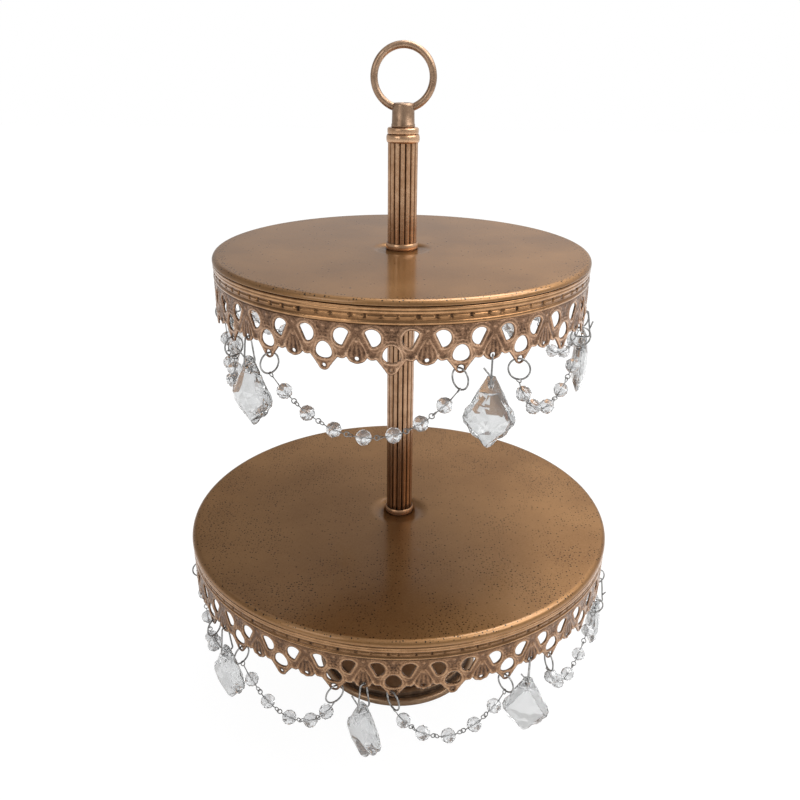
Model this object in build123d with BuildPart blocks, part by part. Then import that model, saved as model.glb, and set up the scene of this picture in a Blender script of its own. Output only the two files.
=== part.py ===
"""Two-tier cake stand: spun foot, reeded columns on a tie rod, two round plates with pierced
lace skirts, swinging bead garlands and crystal drops, and a carrying ring on top."""

import os
from math import asinh, cos, cosh, radians, sin, sinh

from build123d import *

os.makedirs("parts", exist_ok=True)

# Foot, spun from sheet and hollow underneath
foot_radius = 52.5
foot_height = 30.0
foot_wall = 1.6
foot_rim_height = 5.0
foot_rim_width = 3.0
foot_bead = 1.5
foot_step_radius = 47.5
foot_step_height = 9.0
foot_dome_radius = 40.5
foot_waist_radius = 23.0
foot_waist_height = 17.5
foot_neck_radius = 13.0

# Plates with a rounded shoulder and a turned-down rim
upper_plate_radius = 101.6
lower_plate_radius = 127.0
plate_sheet = 1.5
shoulder = 3.2
rim_depth = 12.0
rim_wall = 1.2

# Reeded columns, their end collars and the tie rod that clamps them
stem_length = 82.5
lower_column_length = 163.4
upper_column_length = 59.2
column_radius = 7.8
column_bore = 4.5
flute_count = 16
flute_depth = 0.9
flute_land_angle = 14.0
collar_height = 4.0
collar_wall = 0.8
collar_bevel = 1.2
rod_radius = 3.0
rod_clearance = 0.05
collar_clearance = 0.05
seat_depth = 0.4
seat_clearance = 0.2

# Nut and washer under the foot
washer_radius = 9.0
washer_thickness = 1.6
nut_across_flats = 10.0
nut_height = 5.0
rod_tail = 2.0

# Finial
cap_radius = 8.1
cap_height = 3.3
boss_radius = 6.1
boss_height = 11.7
boss_chamfer = 0.8
rod_in_boss = 5.4
rod_end_gap = 0.3
ring_outer_radius = 16.7
ring_wire = 3.7
ring_sides = 8
ring_sink = 4.7
ring_clearance = 0.05

# Pierced lace skirt, sizes down from the plate's top face and sideways along the strip
strip_thickness = 1.5
strip_clearance = 0.05
strip_seam = 0.1
band_inset = 0.1
band_bottom = 12.2
lace_step = 0.2
lace_sheet = 0.8
tab_tip = 35.0
tab_tip_width = 4.6
tab_root_width = 14.0
tab_root = 28.2
notch_depth = 27.2
notch_spread = 9.8
small_tip = 30.3
small_tip_width = 3.6
tab_hole = 32.2
small_hole = 27.9
hole_width = 2.7
arch_top = 21.0
arch_side = 25.2
arch_bottom = 28.5
arch_width = 8.1
arch_sill = 4.8
eye_top = 13.9
eye_bottom = 22.1
eye_near = 3.4
eye_far = 10.9
eye_shoulder = 15.0
eye_side = 17.4
eye_crown = 7.6
eye_foot = 6.8

# Wire, garlands and crystal drops
wire = 0.9
wire_gap = 0.55
link_ring_radius = 5.2
link_ring_sides = 8
bead_radius = 4.0
bead_half_length = 3.7
bead_sides = 6
bead_bevel = 2.2
bead_gap = 0.2
bead_pitch = 15.2
end_link = 11.0
garland_swing = 30
upper_hook_length = 14.5
lower_hook_length = 17.0
hook_top_width = 4.2
hook_bottom_width = 8.2
drop_hole_width = 2.2
drop_gap = 0.3
drop_top = 4.6
drop_bottom = 32.5
drop_width = 25.2
drop_widest = 17.0
drop_top_width = 4.4
drop_shoulder = 4.0
drop_shoulder_width = 13.0
drop_hip = 25.5
drop_hip_width = 16.6
drop_thickness = 9.4
drop_girdle = 1.0
drop_bevel = 0.75
drop_swing = 20

# Tiers: the lace repeats around the rim, counted from the tab nearest the front, and the garlands
# run between numbered tabs, each end ring turned in its tab, with one drop after each garland,
# turned on its hook
upper_repeats = 20
upper_front_tab = -2.3
upper_garlands = [(-2, 1), (2, 4), (5, 7), (8, 11), (12, 14), (15, 17)]
upper_ring_turns = [(-9, 25), (40, 20), (25, -15), (-20, 30), (15, 25), (37, 10)]
upper_drop_turns = [-32, 0, 15, -20, 10, 17]
lower_repeats = 26
lower_front_tab = -0.9
lower_garlands = [(0, 2), (3, 5), (6, 8), (9, 12), (13, 16), (17, 19), (20, 22), (23, 25)]
lower_ring_turns = [(37, 14), (-25, 20), (20, -30), (15, 25), (-20, 15), (30, -20), (20, 25), (5, -39)]
lower_drop_turns = [-48, 5, -15, 20, -10, 12, 11, -37]

# Heights of the stack
lower_plate_top = foot_height + stem_length + plate_sheet
lower_column_bottom = lower_plate_top - seat_depth
upper_plate_top = lower_column_bottom + lower_column_length + plate_sheet
upper_column_bottom = upper_plate_top - seat_depth
column_top = upper_column_bottom + upper_column_length
boss_bottom = column_top + cap_height
boss_top = boss_bottom + boss_height
ring_centre = boss_top - ring_sink + ring_outer_radius
rod_hole_radius = rod_radius + rod_clearance
collar_inner = column_radius + collar_clearance
collar_outer = collar_inner + collar_wall
seat_radius = collar_outer + seat_clearance


def facing(angle, radius, height):
    """Plane square to the rim: x along the rim, y up, z outward; angle 0 is the front."""
    turn = radians(angle)
    return Plane(
        origin=(radius * sin(turn), -radius * cos(turn), height),
        x_dir=(cos(turn), sin(turn), 0),
        z_dir=(sin(turn), -cos(turn), 0),
    )


def edge_on(angle, turn, radius, height):
    """Upright plane at the rim: x outward, turned aside, y up and z along the rim."""
    place = radians(angle)
    aside = radians(angle + turn)
    return Plane(
        origin=(radius * sin(place), -radius * cos(place), height),
        x_dir=(sin(aside), -cos(aside), 0),
        z_dir=(-cos(aside), -sin(aside), 0),
    )


def save(part, name):
    """Label a finished piece and write its file."""
    part.label = name
    export_step(part, f"parts/{name}.step")


# Foot
with BuildPart() as foot:
    with BuildSketch(Plane.XZ):
        with BuildLine():
            Polyline(
                (foot_radius - foot_bead, 0),
                (foot_radius, foot_bead),
                (foot_radius, foot_rim_height - foot_bead),
                (foot_radius - foot_bead, foot_rim_height),
                (foot_step_radius, foot_rim_height),
                (foot_step_radius - foot_bead, foot_step_height),
                (foot_dome_radius, foot_step_height),
                (foot_waist_radius, foot_waist_height),
                (foot_neck_radius, foot_height),
                (rod_hole_radius, foot_height),
                (rod_hole_radius, foot_height - foot_wall),
                (foot_neck_radius - foot_wall, foot_height - foot_wall),
                (foot_waist_radius - foot_wall, foot_waist_height - foot_wall),
                (foot_dome_radius, foot_step_height - foot_wall),
                (foot_step_radius - foot_bead - foot_wall, foot_step_height - foot_wall),
                (foot_step_radius - foot_wall, foot_rim_height - foot_wall),
                (foot_radius - foot_rim_width, foot_rim_height - foot_wall),
                (foot_radius - foot_rim_width, 0),
                close=True,
            )
        make_face()
    revolve(axis=Axis.Z)
save(foot.part, "foot")


def make_plate(radius, top):
    """Round plate with a bevelled shoulder, a shallow seat for the column and its collar, and a
    rim turned down behind the skirt."""
    rim_radius = radius - strip_thickness - strip_clearance
    soft = shoulder * (1 - cos(radians(45)))
    with BuildPart() as plate:
        with BuildSketch(Plane.XZ):
            with BuildLine():
                Polyline(
                    (rod_hole_radius, top - seat_depth),
                    (seat_radius, top - seat_depth),
                    (seat_radius, top),
                    (radius - shoulder, top),
                    (radius - soft, top - soft),
                    (radius, top - shoulder),
                    (rim_radius, top - shoulder),
                    (rim_radius, top - rim_depth),
                    (rim_radius - rim_wall, top - rim_depth),
                    (rim_radius - rim_wall, top - plate_sheet),
                    (rod_hole_radius, top - plate_sheet),
                    close=True,
                )
            make_face()
        revolve(axis=Axis.Z)
    return plate.part


save(make_plate(lower_plate_radius, lower_plate_top), "lower_plate")
save(make_plate(upper_plate_radius, upper_plate_top), "upper_plate")


def lace_radius(radius):
    """Distance from the stand's axis to the middle of the lace's sheet."""
    return radius - strip_thickness + lace_step + lace_sheet / 2


def make_skirt(radius, top, repeats, front_tab):
    """Strip wrapped round the plate's rim: a plain band, then pierced lace ending in tabs.

    The lace is folded into flat panels, one behind each tab, large and small."""
    inner = radius - strip_thickness
    panels = 2 * repeats
    half_repeat = 180 / repeats
    first_fold = front_tab - 90 - half_repeat / 2
    half_width = lace_radius(radius) * sin(radians(half_repeat))
    below = tab_tip + lace_sheet
    with BuildPart() as skirt:
        with BuildSketch(Plane.XY.offset(top - band_bottom)):
            Circle(radius - band_inset)
            Circle(inner, mode=Mode.SUBTRACT)
        extrude(amount=band_bottom - shoulder - strip_seam)
        with BuildSketch(Plane.XY.offset(top - tab_tip)):
            RegularPolygon(inner + lace_step + lace_sheet, panels, False, first_fold)
            RegularPolygon(inner + lace_step, panels, False, first_fold, mode=Mode.SUBTRACT)
        extrude(amount=tab_tip - band_bottom)
        for repeat in range(repeats):
            tab_angle = front_tab + 2 * half_repeat * repeat
            with BuildSketch(facing(tab_angle, inner, top)):
                with BuildLine():
                    Polyline(
                        (0, -arch_top),
                        (arch_width / 2, -arch_side),
                        (arch_sill / 2, -arch_bottom),
                        (-arch_sill / 2, -arch_bottom),
                        (-arch_width / 2, -arch_side),
                        close=True,
                    )
                make_face()
                with Locations((0, -tab_hole)):
                    Rectangle(hole_width, hole_width)
            with BuildSketch(facing(tab_angle + half_repeat, inner, top)):
                for side in (-1, 1):
                    with BuildLine():
                        Polyline(
                            (side * eye_near, -eye_shoulder),
                            (side * eye_crown, -eye_top),
                            (side * eye_far, -eye_side),
                            (side * eye_foot, -eye_bottom),
                            close=True,
                        )
                    make_face()
                with Locations((0, -small_hole)):
                    Rectangle(hole_width, hole_width)
                with BuildLine():
                    Polyline(
                        (-small_tip_width / 2, -small_tip),
                        (small_tip_width / 2, -small_tip),
                        (notch_spread / 2, -notch_depth),
                        (half_width - tab_root_width / 2, -tab_root),
                        (half_width - tab_tip_width / 2, -tab_tip),
                        (half_width - tab_tip_width / 2, -below),
                        (tab_tip_width / 2 - half_width, -below),
                        (tab_tip_width / 2 - half_width, -tab_tip),
                        (tab_root_width / 2 - half_width, -tab_root),
                        (-notch_spread / 2, -notch_depth),
                        close=True,
                    )
                make_face()
        extrude(amount=2 * strip_thickness, both=True, mode=Mode.SUBTRACT)
    return skirt.part


save(make_skirt(lower_plate_radius, lower_plate_top, lower_repeats, lower_front_tab), "lower_skirt")
save(make_skirt(upper_plate_radius, upper_plate_top, upper_repeats, upper_front_tab), "upper_skirt")


def make_column(bottom, length):
    """Tube with straight reeds, parted by narrow grooves with a sharp bottom."""
    step = 360 / flute_count
    corners = (
        (column_radius, -flute_land_angle / 2),
        (column_radius, flute_land_angle / 2),
        (column_radius - flute_depth, step / 2),
    )
    outline = []
    for flute in range(flute_count):
        for radius, angle in corners:
            turn = radians(flute * step + angle)
            outline.append((radius * cos(turn), radius * sin(turn)))
    with BuildPart() as column:
        with BuildSketch(Plane.XY.offset(bottom)):
            with BuildLine():
                Polyline(*outline, close=True)
            make_face()
            Circle(column_bore, mode=Mode.SUBTRACT)
        extrude(amount=length)
    return column.part


save(make_column(foot_height, stem_length), "stem")
save(make_column(lower_column_bottom, lower_column_length), "lower_column")
save(make_column(upper_column_bottom, upper_column_length), "upper_column")

# Collars at both ends of every column
collar_bottoms = []
for column_bottom, column_length in (
    (foot_height, stem_length),
    (lower_column_bottom, lower_column_length),
    (upper_column_bottom, upper_column_length),
):
    collar_bottoms += [column_bottom, column_bottom + column_length - collar_height]
with BuildPart() as collars:
    with BuildSketch(Plane.XZ):
        for bottom in collar_bottoms:
            with BuildLine():
                Polyline(
                    (collar_inner, bottom),
                    (collar_outer, bottom + collar_bevel),
                    (collar_outer, bottom + collar_height - collar_bevel),
                    (collar_inner, bottom + collar_height),
                    close=True,
                )
            make_face()
    revolve(axis=Axis.Z)
save(collars.part, "column_collars")

# Tie rod from below the nut up into the boss, with its nut and washer inside the foot
washer_bottom = foot_height - foot_wall - washer_thickness
nut_bottom = washer_bottom - nut_height
rod_bottom = nut_bottom - rod_tail
rod_top = boss_bottom + rod_in_boss

with BuildPart() as tie_rod:
    with BuildSketch(Plane.XY.offset(rod_bottom)):
        Circle(rod_radius)
    extrude(amount=rod_top - rod_bottom)
save(tie_rod.part, "tie_rod")

with BuildPart() as foot_washer:
    with BuildSketch(Plane.XY.offset(washer_bottom)):
        Circle(washer_radius)
        Circle(rod_hole_radius, mode=Mode.SUBTRACT)
    extrude(amount=washer_thickness)
save(foot_washer.part, "foot_washer")

with BuildPart() as foot_nut:
    with BuildSketch(Plane.XY.offset(nut_bottom)):
        RegularPolygon(nut_across_flats / 2, 6, major_radius=False)
        Circle(rod_hole_radius, mode=Mode.SUBTRACT)
    extrude(amount=nut_height)
save(foot_nut.part, "foot_nut")

# Finial: a flat cap on the top column, a boss screwed on the rod, and the ring in the boss's slot
with BuildPart() as finial_cap:
    with BuildSketch(Plane.XY.offset(column_top)):
        Circle(cap_radius)
        Circle(rod_hole_radius, mode=Mode.SUBTRACT)
    extrude(amount=cap_height)
save(finial_cap.part, "finial_cap")

with BuildPart() as finial_boss:
    with BuildSketch(Plane.XY.offset(boss_bottom)):
        Circle(boss_radius)
    extrude(amount=boss_height)
    chamfer(finial_boss.edges().group_by(Axis.Z)[-1], boss_chamfer)
    with BuildSketch(Plane.XY.offset(boss_bottom)):
        Circle(rod_hole_radius)
    extrude(amount=rod_in_boss + rod_end_gap, mode=Mode.SUBTRACT)
    with BuildSketch(Plane.XY.offset(boss_top)):
        Rectangle(2 * boss_radius, ring_wire + 2 * ring_clearance)
    extrude(amount=-ring_sink - ring_clearance, mode=Mode.SUBTRACT)
save(finial_boss.part, "finial_boss")

with BuildPart() as ring_handle:
    with BuildSketch(Plane.XY.offset(ring_centre)):
        with Locations((ring_outer_radius - ring_wire / 2, 0)):
            RegularPolygon(ring_wire / 2, ring_sides, False, 180 / ring_sides)
    revolve(axis=Axis((0, 0, ring_centre), (0, 1, 0)))
save(ring_handle.part, "ring_handle")


def hanging_scale(half_span, half_length):
    """Scale of the hanging curve, where scale * sinh(half_span / scale) is half its length."""
    low = half_span / 50
    high = half_span * 50
    for _ in range(80):
        middle = (low + high) / 2
        if middle * sinh(half_span / middle) > half_length:
            low = middle
        else:
            high = middle
    return middle


def wire_height(top, hole):
    """Height of a wire's centre lying just above the lower edge of a hole in the lace."""
    return top - hole - hole_width / 2 + wire_gap + wire / 2


def hanging_points(half_span, beads):
    """Bead centres along the hanging curve, with its two ends, as across and down from its ends."""
    middle_bead = (beads - 1) / 2
    half_length = middle_bead * bead_pitch + end_link
    scale = hanging_scale(half_span, half_length)
    along = [(bead - middle_bead) * bead_pitch for bead in range(beads)]
    points = []
    for length in [-half_length, *along, half_length]:
        across = scale * asinh(length / scale)
        points.append((across, scale * (cosh(across / scale) - cosh(half_span / scale))))
    return points


# One bead, a six-sided bar with both ends bevelled
with BuildPart() as bead:
    with BuildSketch():
        RegularPolygon(bead_radius, bead_sides)
    extrude(amount=bead_half_length, both=True)
    chamfer(bead.edges().filter_by(Axis.Z, reverse=True), bead_bevel)


def make_garland(name, radius, top, first_angle, last_angle, ring_turns, beads):
    """Faceted beads on wire links, hung by a ring through a tab at each end."""
    rim = lace_radius(radius)
    half_angle = (last_angle - first_angle) / 2
    half_span = rim * sin(radians(half_angle))
    height = wire_height(top, tab_hole)
    ring_bottom = 2 * link_ring_radius
    hung = facing(first_angle + half_angle, rim * cos(radians(half_angle)), height)
    points = [
        hung.from_local_coords(Vector(across, drop - ring_bottom, 0))
        for across, drop in hanging_points(half_span, beads)
    ]
    centres = points[1:-1]
    axes = [(after - before).normalized() for before, after in zip(points, points[2:])]
    with BuildPart() as strung:
        for centre, axis in zip(centres, axes):
            with Locations(Plane(centre, z_dir=axis)):
                add(bead.part)
    reach = bead_half_length + bead_gap
    starts = [points[0]] + [centre + axis * reach for centre, axis in zip(centres, axes)]
    ends = [centre - axis * reach for centre, axis in zip(centres, axes)] + [points[-1]]
    corner = 180 / link_ring_sides
    with BuildPart() as links:
        for angle, turn in zip((first_angle, last_angle), ring_turns):
            with BuildSketch(edge_on(angle, turn, rim, height)):
                with Locations((0, -link_ring_radius)):
                    RegularPolygon(link_ring_radius + wire / 2, link_ring_sides, False, corner)
                    RegularPolygon(
                        link_ring_radius - wire / 2, link_ring_sides, False, corner, mode=Mode.SUBTRACT
                    )
            extrude(amount=wire / 2, both=True)
        for start, end in zip(starts, ends):
            with BuildSketch(Plane(start, z_dir=end - start)):
                Rectangle(wire, wire)
            extrude(amount=(end - start).length)
    swing_axis = Axis(hung.origin, hung.x_dir)
    RevoluteJoint("swing", strung.part, swing_axis, angular_range=(-garland_swing, garland_swing))
    save(strung.part, f"{name}_beads")
    save(links.part, f"{name}_wire")
    return strung.part


# One crystal, a flat pear outline with a bevel cut from every edge on both faces
drop_outline = [
    (0, -drop_bottom),
    (drop_hip_width / 2, -drop_hip),
    (drop_width / 2, -drop_widest),
    (drop_shoulder_width / 2, -drop_shoulder),
    (drop_top_width / 2, drop_top),
    (-drop_top_width / 2, drop_top),
    (-drop_shoulder_width / 2, -drop_shoulder),
    (-drop_width / 2, -drop_widest),
    (-drop_hip_width / 2, -drop_hip),
]
with BuildPart() as crystal:
    with BuildSketch():
        with BuildLine():
            Polyline(*drop_outline, close=True)
        make_face()
    extrude(amount=drop_thickness / 2, both=True)
    for start, end in zip(drop_outline, drop_outline[1:] + drop_outline[:1]):
        outward = Vector(end[1] - start[1], start[0] - end[0]).normalized() * drop_bevel
        for face in (-1, 1):
            edge = Vector(start[0], start[1], face * drop_girdle / 2)
            split(bisect_by=Plane(edge, z_dir=outward + Vector(0, 0, face)), keep=Keep.BOTTOM)
    with BuildSketch():
        with Locations((0, wire / 2 + drop_gap - drop_hole_width / 2)):
            Rectangle(drop_hole_width, drop_hole_width)
    extrude(amount=drop_thickness, both=True, mode=Mode.SUBTRACT)


def drop_plane(angle, turn, radius, top, hook_length):
    """Plane of a crystal's faces, centred where its hook's lower wire goes through it."""
    hole = facing(angle, lace_radius(radius), wire_height(top, small_hole) - hook_length)
    faced = facing(angle + turn, 0, 0)
    return Plane(hole.origin, x_dir=faced.x_dir, z_dir=faced.z_dir)


def make_drop(name, plane):
    """Crystal hanging on its hook, free to swing sideways about the wire through it."""
    with BuildPart() as drop:
        with Locations(plane):
            add(crystal.part)
    swing_axis = Axis(plane.origin, plane.z_dir)
    RevoluteJoint("swing", drop.part, swing_axis, angular_range=(-drop_swing, drop_swing))
    save(drop.part, name)
    return drop.part


def make_hooks(name, planes, hook_length):
    """Wire loops, narrow at the lace and wide at the crystal, one for each drop."""
    with BuildPart() as hooks:
        for plane in planes:
            with BuildSketch(Plane(plane.origin, x_dir=plane.z_dir, z_dir=-plane.x_dir)):
                for grow, mode in ((wire / 2, Mode.ADD), (-wire / 2, Mode.SUBTRACT)):
                    with BuildLine():
                        Polyline(
                            (-hook_bottom_width / 2 - grow, -grow),
                            (hook_bottom_width / 2 + grow, -grow),
                            (hook_top_width / 2 + grow, hook_length + grow),
                            (-hook_top_width / 2 - grow, hook_length + grow),
                            close=True,
                        )
                    make_face(mode=mode)
            extrude(amount=wire / 2, both=True)
    save(hooks.part, name)


# Garlands and drops of both tiers; a garland has two beads for each repeat, and one more
moving = []
for tier, radius, top, repeats, front_tab, garlands, ring_turns, drop_turns, hook_length in (
    ("upper", upper_plate_radius, upper_plate_top, upper_repeats, upper_front_tab,
     upper_garlands, upper_ring_turns, upper_drop_turns, upper_hook_length),
    ("lower", lower_plate_radius, lower_plate_top, lower_repeats, lower_front_tab,
     lower_garlands, lower_ring_turns, lower_drop_turns, lower_hook_length),
):
    planes = []
    hung = zip(garlands, ring_turns, drop_turns)
    for number, ((first, last), ends, turn) in enumerate(hung, start=1):
        first_angle, last_angle, drop_angle = (
            front_tab + 360 / repeats * tab for tab in (first, last, last + 0.5)
        )
        beads = 2 * (last - first) + 1
        planes.append(drop_plane(drop_angle, turn, radius, top, hook_length))
        garland_name = f"{tier}_garland_{number}"
        moving.append(make_garland(garland_name, radius, top, first_angle, last_angle, ends, beads))
        moving.append(make_drop(f"{tier}_crystal_{number}", planes[-1]))
    make_hooks(f"{tier}_hooks", planes, hook_length)

for part in moving:
    hinge = part.joints["swing"].relative_axis
    print(part.label, hinge.position, hinge.direction)
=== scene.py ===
import math

import bmesh
import bpy
import numpy as np
from mathutils import Matrix, Vector


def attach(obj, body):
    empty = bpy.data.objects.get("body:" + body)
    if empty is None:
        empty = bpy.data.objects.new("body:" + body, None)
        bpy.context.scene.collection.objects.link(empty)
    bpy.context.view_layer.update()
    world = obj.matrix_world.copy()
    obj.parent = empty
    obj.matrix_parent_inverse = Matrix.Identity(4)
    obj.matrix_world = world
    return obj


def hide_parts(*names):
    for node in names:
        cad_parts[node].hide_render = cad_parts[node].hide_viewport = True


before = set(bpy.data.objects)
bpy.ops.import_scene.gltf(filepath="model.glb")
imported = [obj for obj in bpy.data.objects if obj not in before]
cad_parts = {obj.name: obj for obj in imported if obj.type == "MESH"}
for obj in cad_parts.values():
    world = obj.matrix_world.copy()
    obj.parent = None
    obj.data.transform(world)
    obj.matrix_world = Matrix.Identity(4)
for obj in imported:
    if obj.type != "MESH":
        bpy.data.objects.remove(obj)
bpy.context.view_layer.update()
dice = np.random.default_rng(7)  # turns each bead on its pin
metres = 0.001  # sizes below are in mm
rodBore = 3.05  # hole in every piece that the tie rod holds
nearAxis = 0.02  # where a profile closes at the middle
upright = np.array([0.0, 0.0, 1.0])

# both tiers, in mm and degrees; tabs of the lace are numbered round the rim from the one at the front
# garlands run from tab to tab; ringTurns and turns are for their end rings and for the crystal after each
# specks are the lacquer's gloss, where specks start to crowd as a share of the radius, and how many there are
# at the middle and at the rim
tiers = {
    "upper": dict(
        radius=101.6, top=278.5, shoulder=2.4, repeats=20, frontTab=-2.3,
        garlands=[(-2, 1), (2, 4), (5, 7), (8, 11), (12, 14), (15, 17)],
        ringTurns=[(-9, 25), (40, 20), (25, -15), (-20, 30), (15, 25), (37, 10)],
        turns=[-32, 0, 15, -20, 10, 17], hookLength=14.5,
        specks=(0.50, 0.925, 0.04, 2.2), band="bandGold", lace="laceGold",
    ),
    "lower": dict(
        radius=127.0, top=114.0, shoulder=3.1, repeats=26, frontTab=-0.9,
        garlands=[(0, 2), (3, 5), (6, 8), (9, 12), (13, 16), (17, 19), (20, 22), (23, 25)],
        ringTurns=[(37, 14), (-25, 20), (20, -30), (15, 25), (-20, 15), (30, -20), (20, 25), (5, -39)],
        turns=[-48, 5, -15, 20, -10, 12, 11, -37], hookLength=17.0,
        # the lower tier's band and lace take darker copies of the gold: painted shade
        specks=(0.44, 0.30, 0.24, 0.72), band="bandPaintedShade", lace="laceDark",
    ),
}

# nodes and materials

noiseRange = (0.3, 0.7)  # nearly all of a noise lies between these


def feed(tree, node, links):
    # links are (input name or number, value or output socket)
    for key, value in links:
        if isinstance(value, bpy.types.NodeSocket):
            tree.links.new(value, node.inputs[key])
        else:
            node.inputs[key].default_value = value


def addNode(tree, kind, links=(), **settings):
    # a new node, set up before its inputs are fed
    node = tree.nodes.new(kind)
    for key, value in settings.items():
        setattr(node, key, value)
    feed(tree, node, links)
    return node


def newMaterial(name):
    # a material with its node tree and its shader
    material = bpy.data.materials.new(name)
    material.use_nodes = True
    tree = material.node_tree
    return material, tree, tree.nodes["Principled BSDF"]


def opaque(colour):
    # red, green and blue get full alpha, and a socket stays as it is
    return colour if isinstance(colour, bpy.types.NodeSocket) else (*colour, 1)


def ramp(tree, factor, stops):
    # colour by factor, from stops of (place, colour)
    node = addNode(tree, "ShaderNodeValToRGB", [("Fac", factor)])
    bar = node.color_ramp.elements
    while len(bar) < len(stops):
        bar.new(0.5)
    for element, (place, colour) in zip(bar, stops):
        element.position = place
        element.color = opaque(colour)
    return node.outputs["Color"]


def span(tree, value, fromLow, fromHigh, toLow, toHigh):
    # a value carried in a straight line from one range to another, and held at its ends
    ranges = [("From Min", fromLow), ("From Max", fromHigh), ("To Min", toLow), ("To Max", toHigh)]
    return addNode(tree, "ShaderNodeMapRange", [("Value", value), *ranges]).outputs["Result"]


def sums(tree, how, a, b):
    # one step of arithmetic on two values
    return addNode(tree, "ShaderNodeMath", [(0, a), (1, b)], operation=how).outputs["Value"]


def blendColour(tree, factor, a, b):
    # colour a at factor 0, colour b at factor 1
    links = [("Factor", factor), (6, opaque(a)), (7, opaque(b))]
    return addNode(tree, "ShaderNodeMix", links, data_type="RGBA").outputs[2]


def blendValue(tree, factor, a, b):
    # value a at factor 0, value b at factor 1
    links = [("Factor", factor), (2, a), (3, b)]
    return addNode(tree, "ShaderNodeMix", links, data_type="FLOAT").outputs[0]


def noise(tree, where, scale, detail=3.0, rough=0.55):
    # cloudy noise, scale in cells to the metre
    links = [("Vector", where), ("Scale", scale), ("Detail", detail), ("Roughness", rough)]
    return addNode(tree, "ShaderNodeTexNoise", links).outputs["Fac"]


def objectPlace(tree):
    return addNode(tree, "ShaderNodeTexCoord").outputs["Object"]


def bumpFrom(tree, shader, height, strength, distance):
    # tilts the shader's normal by the slope of height
    links = [("Height", height), ("Strength", strength), ("Distance", distance)]
    feed(tree, shader, [("Normal", addNode(tree, "ShaderNodeBump", links).outputs["Normal"])])


plateGold = dict(
    deep=(0.190, 0.090, 0.030), pale=(0.255, 0.132, 0.050), grain=(0.34, 0.196, 0.090),
    speck=(0.020, 0.009, 0.004), edgeTint=(0.50, 0.43, 0.38), metallic=0.88,
    rough=(0.38, 0.46), speckRough=0.3, glossRough=0.16, bump=(0.15, 0.0003), grainHeight=0.25,
    cloudScale=22.0, grainScale=1400.0, grainBlend=(0.35, 0.75, 0.0, 0.35),
    speckCell=560.0, speckSize=(0.10, 0.27), speckSlope=0.6, crowdTo=0.98,
    patchScale=38.0, patchBlend=(0.37, 0.65, 0.22, 1.8),
)


def makePlateGold(name, radius, gloss, crowdFrom, crowdMiddle, crowdRim):
    # satin gold paint: slow cloudy tone, fine grain, and dark specks that crowd towards the rim; a cell has
    # a speck where its random number lies below crowd times patch and the surface is near level
    look = plateGold
    material, tree, shader = newMaterial(name)
    where = objectPlace(tree)
    cloud = noise(tree, where, look["cloudScale"], 4.0)
    grain = noise(tree, where, look["grainScale"], 2.0)
    tone = blendColour(tree, span(tree, cloud, *noiseRange, 0.0, 1.0), look["deep"], look["pale"])
    tone = blendColour(tree, span(tree, grain, *look["grainBlend"]), tone, look["grain"])
    flat = addNode(tree, "ShaderNodeVectorMath", [(0, where), (1, (1, 1, 0))], operation="MULTIPLY")
    reach = addNode(tree, "ShaderNodeVectorMath", [(0, flat.outputs[0])], operation="LENGTH").outputs["Value"]
    rim = radius * metres
    crowd = span(tree, reach, crowdFrom * rim, look["crowdTo"] * rim, crowdMiddle, crowdRim)
    patch = span(tree, noise(tree, where, look["patchScale"], 2.0), *look["patchBlend"])
    dots = addNode(
        tree, "ShaderNodeTexVoronoi",
        [("Vector", where), ("Scale", look["speckCell"]), ("Randomness", 1.0)], voronoi_dimensions="2D",
    ).outputs
    pick = addNode(tree, "ShaderNodeSeparateColor", [("Color", dots["Color"])]).outputs
    chosen = sums(tree, "LESS_THAN", pick[0], sums(tree, "MULTIPLY", crowd, patch))
    size = span(tree, sums(tree, "POWER", pick[1], 2.0), 0.0, 1.0, *look["speckSize"])
    dot = sums(tree, "LESS_THAN", dots["Distance"], size)
    normal = addNode(tree, "ShaderNodeNewGeometry").outputs["True Normal"]
    slope = addNode(tree, "ShaderNodeSeparateXYZ", [("Vector", normal)]).outputs["Z"]
    level = sums(tree, "GREATER_THAN", slope, look["speckSlope"])
    spot = sums(tree, "MULTIPLY", sums(tree, "MULTIPLY", chosen, dot), level)
    rough = span(tree, cloud, *noiseRange, *look["rough"])
    feed(tree, shader, [
        ("Base Color", blendColour(tree, spot, tone, look["speck"])),
        ("Metallic", look["metallic"]),
        ("Specular Tint", opaque(look["edgeTint"])),
        ("Roughness", sums(tree, "ADD", rough, span(tree, spot, 0, 1, 0, look["speckRough"]))),
        ("Coat Weight", gloss),
        ("Coat Roughness", look["glossRough"]),
    ])
    height = sums(tree, "SUBTRACT", span(tree, grain, 0, 1, 0, look["grainHeight"]), spot)
    bumpFrom(tree, shader, height, *look["bump"])
    return material


reliefGold = dict(
    cloudScale=160.0, cloudBlend=(0.25, 0.75, -0.16, 0.16), grainRough=0.65, bump=(2.1, 0.00035),
)


def makeReliefGold(name, stops, grainScale, grainShare, metallic, roughLow, roughHigh):
    # dark brown in the hollows up to gold on the ridges: the relief attribute is 0 in the hollows and 1 on
    # the ridges, and cloud and grain wear it up and down
    material, tree, shader = newMaterial(name)
    where = objectPlace(tree)
    relief = addNode(tree, "ShaderNodeAttribute", attribute_name="relief").outputs["Fac"]
    cloud = noise(tree, where, reliefGold["cloudScale"])
    grain = noise(tree, where, grainScale, 3.0, reliefGold["grainRough"])
    worn = sums(tree, "ADD", relief, span(tree, cloud, *reliefGold["cloudBlend"]))
    worn = sums(tree, "ADD", worn, span(tree, grain, *noiseRange, -grainShare, grainShare))
    feed(tree, shader, [
        ("Base Color", ramp(tree, worn, stops)),
        ("Metallic", metallic),
        ("Roughness", span(tree, worn, 0.0, 1.0, roughHigh, roughLow)),
    ])
    strength, distance = reliefGold["bump"]
    bumpFrom(tree, shader, grain, min(1.0, strength * grainShare), distance)
    return material


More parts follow.
